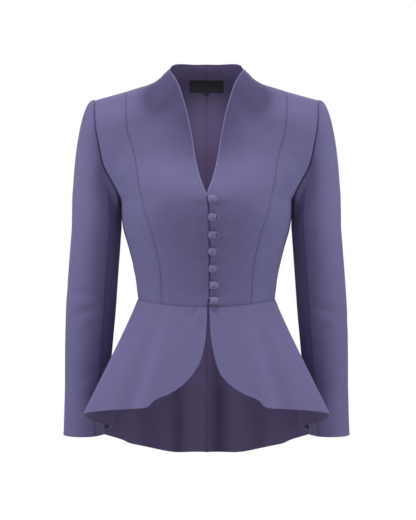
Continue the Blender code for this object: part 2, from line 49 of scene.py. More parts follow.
# Sections of the body, inner face: one row for each height
# columns: height, half width, front y, back y, side y
BODY_SECTIONS = (
    (-0.420, 0.1255, -0.1040, 0.0835, 0.000),
    (-0.394, 0.1245, -0.1035, 0.0830, 0.000),
    (-0.350, 0.1300, -0.1075, 0.0875, 0.001),
    (-0.300, 0.1415, -0.1180, 0.0970, 0.003),
    (-0.260, 0.1525, -0.1285, 0.1050, 0.005),
    (-0.235, 0.1556, -0.1340, 0.1080, 0.006),
    (-0.212, 0.1562, -0.1365, 0.1100, 0.006),
    (-0.200, 0.1632, -0.1350, 0.1108, 0.006),
    (-0.170, 0.1865, -0.1265, 0.1125, 0.0065),
    (-0.140, 0.2095, -0.1180, 0.1130, 0.007),
    (-0.100, 0.2300, -0.1130, 0.1080, 0.008),
    (-0.050, 0.2450, -0.1070, 0.0960, 0.009),
    (0.000, 0.2500, -0.0960, 0.0820, 0.010),
    (0.050, 0.2500, -0.0780, 0.0735, 0.012),
)
FRONT_FULLNESS = 0.85
BACK_FULLNESS = 0.80
BUST_X = 0.088
BUST_Z = -0.208
BUST_RISE = 0.008
BUST_WIDTH = 0.050
BUST_HEIGHT = 0.060

# Hollow where the collar rises out of the shoulder
HOLLOW_X = 0.094
HOLLOW_Z = -0.034
HOLLOW_DEPTH = 0.010
HOLLOW_WIDTH = 0.020
HOLLOW_HEIGHT = 0.030

# Shoulder line from the collar's top corner to the armhole, continued inwards over the neck
# columns: x, height
SHOULDER_LINE = (
    (0.0000, 0.2000),
    (0.0300, 0.1100),
    (0.0500, 0.0615),
    (0.0600, 0.0415),
    (0.0686, 0.0287),
    (0.0759, 0.0220),
    (0.0833, 0.0140),
    (0.0925, 0.0070),
    (0.1036, 0.0014),
    (0.1220, -0.0043),
    (0.1600, -0.0156),
    (0.2048, -0.0277),
    (0.2500, -0.0410),
)
COLLAR_CORNER_X = 0.0686
SHOULDER_END_X = 0.2048
SHOULDER_Y = 0.010
FRONT_SHOULDER_ROUND = 0.070
BACK_SHOULDER_ROUND = 0.085

# Seams and edges of the bodice in the front view; columns: x, height
UNDERARM_Z = -0.212
V_BOTTOM_Z = -0.206
PRINCESS_SEAM = (
    (0.0786, -0.400),
    (0.0820, -0.337),
    (0.0873, -0.309),
    (0.0968, -0.270),
    (0.1085, -0.236),
    (0.1188, -0.188),
    (0.1277, -0.134),
    (0.1410, -0.086),
    (0.1465, -0.012),
)
NECK_EDGE = (
    (0.0006, -0.206),
    (0.0070, -0.190),
    (0.0141, -0.167),
    (0.0195, -0.142),
    (0.0239, -0.113),
    (0.0321, -0.070),
    (0.0415, -0.034),
    (0.0530, -0.001),
    (0.0646, 0.0205),
    (0.0686, 0.0287),
)
COLLAR_TOP = (
    (0.0000, 0.0495),
    (0.0350, 0.0485),
    (0.0547, 0.0440),
    (0.0620, 0.0385),
    (0.0686, 0.0287),
)
ARMHOLE = (
    (0.1562, -0.212),
    (0.1610, -0.196),
    (0.1715, -0.176),
    (0.1860, -0.147),
    (0.1920, -0.118),
    (0.1970, -0.094),
    (0.2015, -0.060),
    (0.2048, -0.0277),
)
WAIST_Z = -0.394
WAIST_FRONT_DIP = 0.0115
WAIST_BACK_RISE = 0.004

# Front opening: an edge-to-edge slit that the loops close
# columns: height, middle x, half width
SLIT = (
    (-0.4060, 0.0032, 0.0021),
    (-0.3800, 0.0052, 0.0016),
    (-0.3300, 0.0056, 0.0022),
    (-0.2600, 0.0052, 0.0022),
    (-0.2250, 0.0036, 0.0022),
    (-0.2060, 0.0004, 0.0006),
)

# Steps of the solids' own grids, which set where seams fall along an armhole or a waist
UPPER_ROWS = 10
FRONT_COLUMNS = 7
SIDE_COLUMNS = 6
COLLAR_COLUMNS = 5

# Sleeve sections below the armhole, inner face
# columns: height, centre x, centre y, half width, half depth
SLEEVE_SECTIONS = (
    (-0.260, 0.2035, 0.009, 0.0440, 0.0560),
    (-0.394, 0.2139, 0.018, 0.0444, 0.0500),
    (-0.480, 0.2198, 0.028, 0.0423, 0.0470),
    (-0.560, 0.2245, 0.037, 0.0390, 0.0430),
    (-0.650, 0.2312, 0.047, 0.0357, 0.0395),
)
SLEEVE_HEAD_OUT = 0.021
SLEEVE_HEAD_UP = 0.009
UNDERARM_DROP = 0.016
CAP_EASE = 0.58
SLEEVE_GAP_TOP = 0.0010
SLEEVE_GAP_UNDERARM = 0.0036
UNDER_SLEEVE_FRONT = 3
UNDER_SLEEVE_FLAT = 0.80
UNDER_SLEEVE_BACK = 4

# Peplum: flare for each metre of drop, then hem and flutes
SIDE_FLARE = 0.46
FRONT_FLARE = 0.26
BACK_FLARE = 0.27
FLUTE_FULL_DROP = 0.21
FLUTE_GROWTH = 1.1
# columns: angle from centre front in degrees, outward swing at full drop, half width in degrees
FLUTES = (
    (29.5, 0.013, 6.0),
    (41.0, -0.010, 8.0),
    (71.0, 0.015, 12.0),
    (103.0, -0.046, 17.0),
    (127.0, 0.012, 8.0),
    (139.0, -0.009, 7.0),
    (151.5, 0.011, 8.0),
    (164.5, -0.010, 7.0),
    (180.0, 0.009, 8.0),
)
# Rounded front edges of the peplum; columns: half opening, height, middle x
PEPLUM_EDGE = (
    (0.0021, -0.4065, 0.0032),
    (0.0045, -0.4545, 0.0034),
    (0.0095, -0.4830, 0.0034),
    (0.0157, -0.5040, 0.0025),
    (0.0255, -0.5235, 0.0002),
)
# Hem from the end of the rounded edge to the centre back; columns: angle in degrees, height
PEPLUM_HEM = (
    (8.0, -0.5235),
    (13.0, -0.5420),
    (20.0, -0.5580),
    (25.5, -0.5665),
    (26.7, -0.5695),
    (28.3, -0.5795),
    (32.0, -0.5825),
    (40.0, -0.5855),
    (55.0, -0.5905),
    (70.0, -0.5990),
    (80.0, -0.6090),
    (90.0, -0.6230),
    (110.0, -0.6370),
    (130.0, -0.6590),
    (150.0, -0.6845),
    (165.0, -0.6975),
    (180.0, -0.7025),
)

# Buttons and loops
# columns: x, height, reach of the loop past the button's middle
BUTTONS = (
    (0.0101, -0.2150, 0.0090),
    (0.0101, -0.2455, 0.0118),
    (0.0101, -0.2766, 0.0116),
    (0.0101, -0.3060, 0.0108),
    (0.0111, -0.3365, 0.0104),
    (0.0130, -0.3662, 0.0090),
    (0.0137, -0.3945, 0.0106),
)
BUTTON_RADIUS = 0.0072
BUTTON_DOME = 0.0052
SHANK_RADIUS = 0.0019
SHANK_HEIGHT = 0.0042
LOOP_RADIUS = 0.0015
LOOP_LIFT = 0.0006
LOOP_HALF_GAP = 0.0046
LOOP_START_X = 0.0044
LOOP_FULLNESS = 1.15
LOOP_STEPS = 16
BUTTON_SIDES = 72
PLEATS = 9
PLEAT_DEPTH = 0.00016
PLEAT_WIDTH = 0.0012
PLEAT_HEIGHT = 0.002
PLEAT_TURN = 1.7

# Label inside the back neck
LABEL_WIDTH = 0.064
LABEL_HEIGHT = 0.023
LABEL_Z = 0.009
LABEL_WALL = 0.0010
TAB_WIDTH = 0.008
TAB_HEIGHT = 0.007

# Detail of the cloth at close range
SEAM_PUFF = 0.0006
SEAM_PUFF_WIDTH = 0.0024
EDGE_ROLL = 0.0005
EDGE_ROLL_WIDTH = 0.0018
LOWER_DETAIL = 46
UPPER_DETAIL = 52
FRONT_DETAIL = 42
SIDE_DETAIL = 36
COLLAR_DETAIL = 24
SLEEVE_DETAIL = 44
CAP_DETAIL = 44
ARM_DETAIL = 84
PEPLUM_DETAIL = 56
# Steps beside a seam, as shares of the panel, and the least step kept
CLOSE_STEPS = np.array([0.003, 0.007, 0.012, 0.019])
LEAST_STEP = 0.0015

# Soft creases; columns: panel, side (0 both), x, z, run in x and z, half width, depth
CREASES = (
    ("peplum_front", -1, 0.0215, -0.4190, 0.0060, -0.013, 0.0042, -0.0019),
    ("peplum_front", -1, 0.0330, -0.4230, 0.0060, -0.014, 0.0045, -0.0012),
    ("peplum_front", -1, 0.0150, -0.4130, 0.0030, -0.010, 0.0026, 0.0006),
    ("peplum_front", 1, 0.0175, -0.4190, 0.0070, -0.012, 0.0040, -0.0015),
    ("peplum_front", 1, 0.0300, -0.4160, 0.0050, -0.018, 0.0036, -0.0005),
    ("front", 0, 0.0300, -0.3850, 0.0200, 0.012, 0.0050, -0.0006),
    ("front", 0, 0.0240, -0.2700, 0.0220, 0.006, 0.0050, -0.0005),
    ("front", -1, 0.0260, -0.3180, 0.0240, 0.009, 0.0060, -0.0006),
    ("front", 1, 0.0300, -0.3420, 0.0200, 0.010, 0.0055, -0.0005),
    ("side_front", 0, 0.1180, -0.3600, 0.0220, 0.016, 0.0080, -0.0009),
    ("side_front", -1, 0.1240, -0.3280, 0.0200, 0.012, 0.0070, -0.0007),
    ("side_front", 0, 0.1620, -0.1500, 0.0140, -0.030, 0.0090, -0.0012),
    ("back", 0, 0.0900, -0.3650, 0.0320, 0.010, 0.0090, -0.0012),
    ("back", 0, 0.0800, -0.3350, 0.0280, 0.008, 0.0080, -0.0009),
    ("back", 1, 0.1250, -0.2300, 0.0200, 0.036, 0.0100, -0.0014),
    ("back", -1, 0.1200, -0.2150, 0.0220, 0.040, 0.0100, -0.0013),
    ("upper_sleeve", 0, 0.2200, -0.4150, 0.0260, -0.012, 0.0080, -0.0013),
    ("upper_sleeve", -1, 0.2180, -0.3850, 0.0300, 0.010, 0.0090, -0.0014),
    ("upper_sleeve", 1, 0.2240, -0.4480, 0.0280, 0.012, 0.0085, -0.0012),
    ("upper_sleeve", 0, 0.2100, -0.2100, 0.0220, 0.034, 0.0110, -0.0012),
    ("upper_sleeve", -1, 0.2260, -0.5400, 0.0240, -0.010, 0.0080, -0.0009),
    ("upper_sleeve", 1, 0.2280, -0.5650, 0.0220, 0.010, 0.0080, -0.0009),
)
CREASE_BEND = 0.12
CREASE_RIDGE = 0.5
CREASE_TO_SEAM = 0.006

# Painted into the cloth's colour: painted shade along sewn lines, in the collar's hollow and in the neck
# edge's band; a painted highlight along edges
SEAM_PAINTED_SHADE, SEAM_PAINTED_SHADE_WIDTH = 0.75, 0.0010
SEAM_HALO, SEAM_HALO_WIDTH = 0.12, 0.004
INNER_SEAM_SHARE = 0.6
EDGE_GLINT, EDGE_GLINT_WIDTH = 0.55, 0.0013
NO_EDGE = 1.0
# columns: depth of painted shade, x, height, half width, half height
COLLAR_PAINTED_SHADE = (
    (1.05, HOLLOW_X, HOLLOW_Z, 0.024, 0.034),
    (0.50, 0.072, 0.010, 0.025, 0.028),
)
NECK_BAND_PAINTED_SHADE = 0.56
NECK_BAND_WIDTH = 0.042
NECK_BAND_FOOT_Z = -0.185
NECK_BAND_RISE = 0.08
# Painted shade that changes slowly down the garment, deeper at the shoulders and towards the hem;
# columns: height, depth of painted shade
PAINTED_SHADE_BY_HEIGHT = np.array([
    (-0.72, 0.42),
    (-0.64, 0.24),
    (-0.40, 0.18),
    (-0.28, 0.10),
    (-0.22, 0.00),
    (-0.15, 0.00),
    (-0.11, 0.12),
    (-0.06, 0.28),
    (0.03, 0.32),
])
# Painted shade of the folds inside the back of the peplum; columns: x, half width, depth of painted shade
INNER_FOLD_PAINTED_SHADE = (
    (0.024, 0.017, 0.95),
    (-0.056, 0.013, 0.80),
    (-0.116, 0.020, 0.35),
    (0.105, 0.014, 0.30),
)
FOLD_TOP_Z = -0.42
FOLD_FULL_DROP = 0.16
FOLD_SPREAD = 0.55

# Threads of the cloth
SLUB_SCALE = (900.0, 120.0, 1.0)
MOTTLE_SCALE = 38.0
SLUB_SHARE, MOTTLE_SHARE, THREAD_SHARE = 0.45, 0.35, 0.20
DARK_AT, LIGHT_AT = 0.15, 0.85
# Colour that the painted shade multiplies in at full depth
PAINTED_SHADE_TINT = (0.45, 0.42, 0.48, 1.0)
# How much lighter the painted edge highlight is than the light threads
GLINT_GAIN = 1.7
SMOOTHER, ROUGHER = 0.06, 0.08
BUMP_STRENGTH, BUMP_DISTANCE = 0.25, 0.0003
SHEEN_TINT = (0.75, 0.70, 1.0, 1.0)
SHEEN_ROUGHNESS = 0.45
SPECULAR_LEVEL = 0.25
# columns: name, light threads, dark threads, sheen, roughness, thread spacing, mark of painted shade
CLOTHS = (
    ("violet_suiting", (0.178, 0.157, 0.310), (0.130, 0.113, 0.240), 0.12, 0.78, 0.0011, "painted_shade"),
    # The inside is a darker copy of the suiting: painted shade for the less-lit inside
    ("violet_inside_painted_shade", (0.112, 0.082, 0.180), (0.082, 0.060, 0.136), 0.05, 0.80, 0.0011, "inner_painted_shade"),
    # Button and loop cloths are lighter copies of the suiting: painted light on the raised domes and
    # loops
    ("violet_button", (0.205, 0.175, 0.330), (0.150, 0.126, 0.255), 0.15, 0.70, 0.0009, "painted_shade"),
    ("violet_rouleau", (0.225, 0.185, 0.350), (0.160, 0.132, 0.265), 0.12, 0.74, 0.0009, "painted_shade"),
    ("black_label", (0.014, 0.011, 0.018), (0.007, 0.006, 0.010), 0.02, 0.55, 0.0007, "painted_shade"),
)

# Studio
FLOOR_Z = -1.40
FLOOR_RADIUS = 2.3
FLOOR_SIDES = 96
WORLD_STRENGTH = 0.08
CAMERA_DISTANCE = 2.6
CAMERA_X = 0.0028
CAMERA_Z = -0.322
SENSOR = 36.0
PHOTO_HEIGHT = 520
METRES_PER_PIXEL = 0.00185


def fade(distance, width):
    """A soft fall from one to nothing over a few widths."""
    return np.exp(-((distance / width) ** 2))


def spot(x, z, at_x, at_z, width, height):
    """A soft round patch in the front view."""
    return np.exp(-(((x - at_x) / width) ** 2) - ((z - at_z) / height) ** 2)


def smooth_through(rows):
    """A function that follows the rows' other columns smoothly along their first, without overshoot."""
    table = np.array(rows, float)
    key, values = table[:, 0], table[:, 1:]
    step = np.diff(key)
    slope = np.diff(values, axis=0) / step[:, None]
    tangent = np.zeros_like(values)
    tangent[0], tangent[-1] = slope[0], slope[-1]
    for i in range(1, len(key) - 1):
        before, after = slope[i - 1], slope[i]
        same = before * after > 0
        with np.errstate(divide="ignore", invalid="ignore"):
            mean = (step[i - 1] + step[i]) / (step[i] / before + step[i - 1] / after)
        tangent[i] = np.where(same, mean, 0.0)

    def follow(at):
        at = np.clip(np.asarray(at, float), key[0], key[-1])
        i = np.clip(np.searchsorted(key, at) - 1, 0, len(key) - 2)
        t = ((at - key[i]) / step[i])[..., None]
        h = step[i][..., None]
        return (
            (1 + 2 * t) * (1 - t) ** 2 * values[i]
            + t * (1 - t) ** 2 * h * tangent[i]
            + t * t * (3 - 2 * t) * values[i + 1]
            + t * t * (t - 1) * h * tangent[i + 1]
        )

    return follow


body_section = smooth_through(BODY_SECTIONS)
shoulder_height = smooth_through(SHOULDER_LINE)
sleeve_section = smooth_through(SLEEVE_SECTIONS[::-1])
hem_height = smooth_through(PEPLUM_HEM)
slit = smooth_through(SLIT)


def path_through(points, count):
    """Evenly placed points on a smooth path through a short list of points."""
    points = np.array(points, float)
    along = np.concatenate([[0], np.cumsum(np.linalg.norm(np.diff(points, axis=0), axis=1))])
    path = smooth_through(np.column_stack([along, points]))
    return path(np.linspace(0, along[-1], count))


def placed(points_2d, points_3d, shares):
    """The 2D points at the given shares of the 3D path that they make."""
    along = np.concatenate([[0], np.cumsum(np.linalg.norm(np.diff(points_3d, axis=0), axis=1))])
    at = np.asarray(shares) * along[-1]
    return np.column_stack([np.interp(at, along, points_2d[:, c]) for c in (0, 1)])


def shares(count, close=(0.0, 1.0), low=0.0, high=1.0):
    """Even shares from low to high, with close steps beside the places named."""
    even = np.linspace(low, high, count + 1)
    extra = np.concatenate([[p + s * CLOSE_STEPS for s in (1, -1)] for p in close], axis=None)
    both = np.unique(np.concatenate([even, extra[(extra > low) & (extra < high)]]))
    keep = np.concatenate([[True], np.diff(both) > LEAST_STEP])
    keep[-1] = True
    return both[keep]


# Body


def body_angle(x, z):
    half_width = body_section(z)[..., 0]
    return np.arcsin(np.clip(np.asarray(x) / half_width, -1, 1))


def body_point(angle, z, back):
    """A point of the body's inner face, on the half with positive x."""
    angle, z = np.broadcast_arrays(np.asarray(angle, float), np.asarray(z, float))
    half_width, front, rear, side = np.moveaxis(body_section(z), -1, 0)
    x = half_width * np.sin(angle)
    across = np.clip(np.cos(angle), 0, 1)
    if back:
        y = side + (rear - side) * across**BACK_FULLNESS
        rounding = BACK_SHOULDER_ROUND
    else:
        y = side + (front - side) * across**FRONT_FULLNESS
        y = y - BUST_RISE * spot(x, z, BUST_X, BUST_Z, BUST_WIDTH, BUST_HEIGHT)
        y = y + HOLLOW_DEPTH * spot(x, z, HOLLOW_X, HOLLOW_Z, HOLLOW_WIDTH, HOLLOW_HEIGHT)
        rounding = FRONT_SHOULDER_ROUND
    below = np.clip((shoulder_height(x)[..., 0] - z) / rounding, 0, 1)
    over = np.sqrt(np.clip(1 - (1 - below) ** 2, 0, 1))
    y = SHOULDER_Y + (y - SHOULDER_Y) * over
    return np.stack([x, y, z], axis=-1)


def waist_height(angle, back):
    across = np.cos(angle) ** 2
    return WAIST_Z + (WAIST_BACK_RISE if back else -WAIST_FRONT_DIP) * across


def seam_on_body(outline, at, back):
    flat = path_through(outline, 600)
    flat = np.column_stack([body_angle(flat[:, 0], flat[:, 1]), flat[:, 1]])
    return placed(flat, body_point(flat[:, 0], flat[:, 1], back), at)


def waist_on_body(first_angle, last_angle, at, back):
    angle = np.linspace(first_angle, last_angle, 600)
    flat = np.column_stack([angle, waist_height(angle, back)])
    return placed(flat, body_point(flat[:, 0], flat[:, 1], back), at)


def split_at(outline, z):
    points = np.array(outline, float)
    x = float(np.interp(z, points[:, 1], points[:, 0]))
    low = [tuple(p) for p in points if p[1] < z - 1e-6]
    high = [tuple(p) for p in points if p[1] > z + 1e-6]
    return low + [(x, z)], [(x, z)] + high


def fill_patch(bottom, top, inner, outer, across, up):
    """A grid between four borders: the two ruled surfaces less the corners' own."""
    u = across[None, :, None]
    v = up[:, None, None]
    ruled_up = (1 - v) * bottom[None] + v * top[None]
    ruled_across = (1 - u) * inner[:, None] + u * outer[:, None]
    corners = (1 - v) * ((1 - u) * bottom[0] + u * bottom[-1]) + v * (
        (1 - u) * top[0] + u * top[-1]
    )
    return ruled_up + ruled_across - corners


LOW_AT = shares(LOWER_DETAIL, close=(0.0,))
HIGH_AT = shares(UPPER_DETAIL, close=(1.0,))
UP_AT = np.concatenate([LOW_AT[:-1] / 2, 0.5 + HIGH_AT / 2])
FRONT_AT = shares(FRONT_DETAIL)
SIDE_AT = shares(SIDE_DETAIL)
COLLAR_AT = shares(COLLAR_DETAIL, close=(0.0,))
BACK_COLUMNS = COLLAR_COLUMNS + FRONT_COLUMNS + SIDE_COLUMNS
COLLAR_SHARE = COLLAR_COLUMNS / BACK_COLUMNS
NECK_SHARE = FRONT_COLUMNS / BACK_COLUMNS
BACK_AT = np.concatenate([
    COLLAR_AT[:-1] * COLLAR_SHARE,
    COLLAR_SHARE + FRONT_AT[:-1] * NECK_SHARE,
    COLLAR_SHARE + NECK_SHARE + SIDE_AT * (1 - COLLAR_SHARE - NECK_SHARE),
])
WAIST_SHARE = FRONT_COLUMNS / (FRONT_COLUMNS + SIDE_COLUMNS)
PEPLUM_AT = np.concatenate([FRONT_AT[:-1] * WAIST_SHARE, WAIST_SHARE + SIDE_AT * (1 - WAIST_SHARE)])
PEPLUM_UP = shares(PEPLUM_DETAIL)


def slit_edge(z, side):
    middle, half = np.moveaxis(slit(z), -1, 0)
    return half + side * middle


def front_borders(side):
    """The princess seam and the front and neck edges, as angles and heights."""
    low, high = split_at(PRINCESS_SEAM, V_BOTTOM_Z)
    low[0] = (low[0][0], float(waist_height(body_angle(low[0][0], low[0][1]), False)))
    high[-1] = (high[-1][0], float(shoulder_height(high[-1][0])[0]))
    princess = np.vstack([seam_on_body(low, LOW_AT, False)[:-1], seam_on_body(high, HIGH_AT, False)])
    heights = np.linspace(float(waist_height(0.0, False)), V_BOTTOM_Z, 200)
    edge = slit_edge(heights, side)
    front_edge = np.column_stack([edge / body_section(heights)[:, 0], heights])
    lower = placed(front_edge, np.column_stack([edge, heights, 0 * heights]), LOW_AT)
    upper = seam_on_body(NECK_EDGE, HIGH_AT, False)
    upper[0] = lower[-1]
    return princess, np.vstack([lower[:-1], upper])


def shoulder_border(first_x, last_x, at):
    x = np.linspace(first_x, last_x, 600)
    z = shoulder_height(x)[:, 0]
    flat = np.column_stack([body_angle(x, z), z])
    return placed(flat, np.column_stack([x, 0 * x, z]), at)


def side_seam(back, at):
    heights = np.linspace(WAIST_Z, UNDERARM_Z, 400)
    flat = np.column_stack([np.full(400, math.pi / 2), heights])
    return placed(flat, body_point(flat[:, 0], flat[:, 1], back), at)


def armhole(back, at):
    hole = seam_on_body(ARMHOLE, at, back)
    hole[0] = (math.pi / 2, UNDERARM_Z)
    return hole


def side_border(back):
    return np.vstack([side_seam(back, LOW_AT)[:-1], armhole(back, HIGH_AT)])


def centre_back_border():
    low = np.interp(LOW_AT, [0, 1], [float(waist_height(0.0, True)), V_BOTTOM_Z])
    high = np.interp(HIGH_AT, [0, 1], [V_BOTTOM_Z, COLLAR_TOP[0][1]])
    heights = np.concatenate([low[:-1], high])
    return np.column_stack([np.zeros(len(heights)), heights])


def bodice_grids(side):
    """Inner faces of the centre front, side front and back of one side, each as rows of points."""
    princess, edge = front_borders(side)
    princess_x = float(body_point(princess[-1, 0], princess[-1, 1], False)[0])
    neck_shoulder = shoulder_border(COLLAR_CORNER_X, princess_x, FRONT_AT)
    arm_shoulder = shoulder_border(princess_x, SHOULDER_END_X, SIDE_AT)
    front_waist = waist_on_body(edge[0, 0], princess[0, 0], FRONT_AT, False)
    side_waist = waist_on_body(princess[0, 0], math.pi / 2, SIDE_AT, False)
    front = fill_patch(front_waist, neck_shoulder, edge, princess, FRONT_AT, UP_AT)
    side_front = fill_patch(side_waist, arm_shoulder, princess, side_border(False), SIDE_AT, UP_AT)
    collar = seam_on_body(COLLAR_TOP, COLLAR_AT, True)
    back_top = np.vstack([collar[:-1], neck_shoulder[:-1], arm_shoulder])
    back_waist = waist_on_body(0.0, math.pi / 2, BACK_AT, True)
    back = fill_patch(back_waist, back_top, centre_back_border(), side_border(True), BACK_AT, UP_AT)
    return {
        "front": body_point(front[..., 0], front[..., 1], False),
        "side_front": body_point(side_front[..., 0], side_front[..., 1], False),
        "back": body_point(back[..., 0], back[..., 1], True),
        "front_waist": front_waist,
        "side_waist": side_waist,
        "back_waist": back_waist,
    }


# Sleeve

FRONT_SEAM_SHARE = UNDER_SLEEVE_FRONT / UPPER_ROWS
BACK_SEAM_SHARE = UNDER_SLEEVE_BACK / UPPER_ROWS


def sleeve_bulge(turn, seam_turn):
    """Share of the sleeve's depth at each turn, flattened from the front seam to the inner side."""
    round_share = np.sin(turn)
    across = (np.cos(seam_turn) - np.cos(turn)) / (np.cos(seam_turn) + 1)
    flat_share = np.sin(seam_turn) * (1 - across)
    mixed = (1 - UNDER_SLEEVE_FLAT) * round_share + UNDER_SLEEVE_FLAT * flat_share
    return np.where(turn > seam_turn, mixed, round_share)


def sleeve_grid():
    """Inner face of a whole sleeve, from the underarm up the front and down the back."""
    front_at = shares(SLEEVE_DETAIL, close=(FRONT_SEAM_SHARE,))
    back_at = shares(SLEEVE_DETAIL, close=(BACK_SEAM_SHARE,))
    front_at = np.unique(np.append(front_at, FRONT_SEAM_SHARE))
    back_at = np.unique(np.append(back_at, BACK_SEAM_SHARE))
    front, back = armhole(False, front_at), armhole(True, back_at)
    rising = body_point(front[:, 0], front[:, 1], False)
    falling = body_point(back[:, 0], back[:, 1], True)[::-1]
    seam = np.vstack([rising, falling[1:-1]])
    top = len(rising) - 1
    lift = (seam[:, 2] - UNDERARM_Z) / (seam[top, 2] - UNDERARM_Z)
    seam[:, 0] += SLEEVE_GAP_UNDERARM + (SLEEVE_GAP_TOP - SLEEVE_GAP_UNDERARM) * lift
    length = np.linalg.norm(np.roll(seam, -1, axis=0) - seam, axis=1)
    up = np.concatenate([[0], np.cumsum(length[:top])])
    down = np.concatenate([[0], np.cumsum(length[top:])])
    turn = np.concatenate([math.pi * (1 - up / up[-1]), -math.pi * down[1:-1] / down[-1]])
    first = int(np.argmin(np.abs(front_at - FRONT_SEAM_SHARE)))
    last = len(turn) - int(np.argmin(np.abs(back_at - BACK_SEAM_SHARE)))
    sections = np.array(SLEEVE_SECTIONS)
    arm_at = shares(ARM_DETAIL, close=(1.0,))
    arm_z = np.interp(arm_at, [0, 1], [sections[0, 0], sections[-1, 0]])
    centre_x, centre_y, half_width, half_depth = np.moveaxis(sleeve_section(arm_z), -1, 0)
    arm = np.stack([
        centre_x[:, None] + half_width[:, None] * np.cos(turn),
        centre_y[:, None] - half_depth[:, None] * sleeve_bulge(turn, turn[first]),
        np.repeat(arm_z[:, None], len(turn), axis=1),
    ], axis=-1)
    bicep = arm[0]
    out = np.zeros_like(seam)
    out[:, 0] = SLEEVE_HEAD_OUT * lift
    out[:, 2] = SLEEVE_HEAD_UP * lift - UNDERARM_DROP * (1 - lift)
    back_up = np.zeros_like(seam)
    back_up[:, 2] = CAP_EASE * (seam[:, 2] - bicep[:, 2])
    t = shares(CAP_DETAIL, close=(0.0,))[:, None, None]
    cap = (
        (1 - t) ** 3 * seam
        + 3 * t * (1 - t) ** 2 * (seam + out)
        + 3 * t * t * (1 - t) * (bicep + back_up)
        + t**3 * bicep
    )
    return np.vstack([cap[:-1], arm]), first, last


def sleeve_halves():
    whole, first, last = sleeve_grid()
    return {
        "upper_sleeve": whole[:, first : last + 1],
        "under_sleeve": np.concatenate([whole[:, last:], whole[:, : first + 1]], axis=1),
    }


# Peplum


def peplum_point(angle, z):
    angle, z = np.broadcast_arrays(np.asarray(angle, float), np.asarray(z, float))
    back = angle > math.pi / 2
    on_body = np.where(back, math.pi - angle, angle)
    top_z = np.where(back, waist_height(on_body, True), waist_height(on_body, False))
    top = np.where(
        back[..., None], body_point(on_body, top_z, True), body_point(on_body, top_z, False)
    )
    drop = np.maximum(top_z - z, 0)
    flare = np.where(back, BACK_FLARE, FRONT_FLARE)
    x = top[..., 0] + SIDE_FLARE * drop * np.sin(angle)
    y = top[..., 1] - flare * drop * np.cos(angle)
    swing = np.zeros_like(x)
    for at, reach, width in FLUTES:
        swing += reach * fade(np.degrees(angle) - at, width)
    swing *= (drop / FLUTE_FULL_DROP) ** FLUTE_GROWTH
    x = x + swing * np.sin(angle)
    y = y - swing * np.cos(angle)
    return np.stack([x, y, z], axis=-1)


def peplum_grids(side, bodice):
    """Inner faces of the front and back of one side's peplum, hem first, waist last."""
    front_top = np.vstack([bodice["front_waist"], bodice["side_waist"][1:]])
    back_top = bodice["back_waist"].copy()
    back_top[:, 0] = math.pi - back_top[:, 0]
    edge = path_through(PEPLUM_EDGE, 400)[::-1]
    half_width = body_section(WAIST_Z)[0] + SIDE_FLARE * (WAIST_Z - WAIST_FRONT_DIP - edge[:, 1])
    edge_x = edge[:, 0] + side * edge[:, 2]
    inner = np.column_stack([np.arcsin(edge_x / half_width), edge[:, 1]])
    inner = placed(inner, np.column_stack([edge_x, edge[:, 1], 0 * edge_x]), PEPLUM_UP)
    inner[-1] = front_top[0]
    angle = np.linspace(inner[0, 0], math.pi / 2, 800)
    hem = np.column_stack([angle, hem_height(np.degrees(angle))[:, 0]])
    hem[0] = inner[0]
    hem = placed(hem, peplum_point(hem[:, 0], hem[:, 1]), PEPLUM_AT)
    seam_z = np.interp(PEPLUM_UP, [0, 1], [hem[-1, 1], front_top[-1, 1]])
    side_line = np.column_stack([np.full(len(seam_z), math.pi / 2), seam_z])
    front = fill_patch(hem, front_top, inner, side_line, PEPLUM_AT, PEPLUM_UP)
    angle = np.linspace(math.pi / 2, math.pi, 800)
    back_hem = np.column_stack([angle, hem_height(np.degrees(angle))[:, 0]])
    from_side = 1 - BACK_AT[::-1]
    back_hem = placed(back_hem, peplum_point(angle, back_hem[:, 1]), from_side)
    centre_z = np.interp(PEPLUM_UP, [0, 1], [back_hem[-1, 1], back_top[0, 1]])
    centre = np.column_stack([np.full(len(centre_z), math.pi), centre_z])
    back = fill_patch(back_hem, back_top[::-1], side_line, centre, from_side, PEPLUM_UP)
    return {
        "peplum_front": peplum_point(front[..., 0], front[..., 1]),
        "peplum_back": peplum_point(back[..., 0], back[..., 1]),
    }


# Cloth detail


def border_distance(grid):
    """How far each point is from the first and last columns and rows, along the cloth."""
    across = np.linalg.norm(np.diff(grid, axis=1), axis=2)
    along = np.linalg.norm(np.diff(grid, axis=0), axis=2)
    left = np.concatenate([np.zeros((len(grid), 1)), np.cumsum(across, axis=1)], axis=1)
    low = np.concatenate([np.zeros((1, grid.shape[1])), np.cumsum(along, axis=0)], axis=0)
    return left, left[:, -1:] - left, low, low[-1:] - low


def face_normals(grid, turned):
    across = np.gradient(grid, axis=1)
    along = np.gradient(grid, axis=0)
    normal = np.cross(across, along)
    normal /= np.maximum(np.linalg.norm(normal, axis=2, keepdims=True), 1e-12)
    return -normal if turned else normal


# Borders that are sewn and borders that are finished edges, as first and last column, first and last row
SEWN = {
    "front": (0, 1, 1, 1),
    "side_front": (1, 1, 1, 1),
    "back": (1, 1, 1, 1),
    "upper_sleeve": (1, 1, 1, 0),
    "under_sleeve": (1, 1, 1, 0),
    "peplum_front": (0, 1, 0, 1),
    "peplum_back": (1, 1, 0, 1),
}


def creased(name, side, grid):
    """Depth of the listed creases at each point, fading at their ends."""
    x, z = np.abs(grid[..., 0]), grid[..., 2]
    move = np.zeros(grid.shape[:2])
    for panel, only, at_x, at_z, run_x, run_z, width, depth in CREASES:
        if panel != name or only not in (0, side):
            continue
        reach = math.hypot(run_x, run_z)
        along = ((x - at_x) * run_x + (z - at_z) * run_z) / reach
        across = ((x - at_x) * run_z - (z - at_z) * run_x) / reach
        across = across - CREASE_BEND * along**2 / reach
        trough = fade(across, width) - CREASE_RIDGE * fade(across - 2 * width, width)
        move += depth * trough * fade(along, reach)
    return move


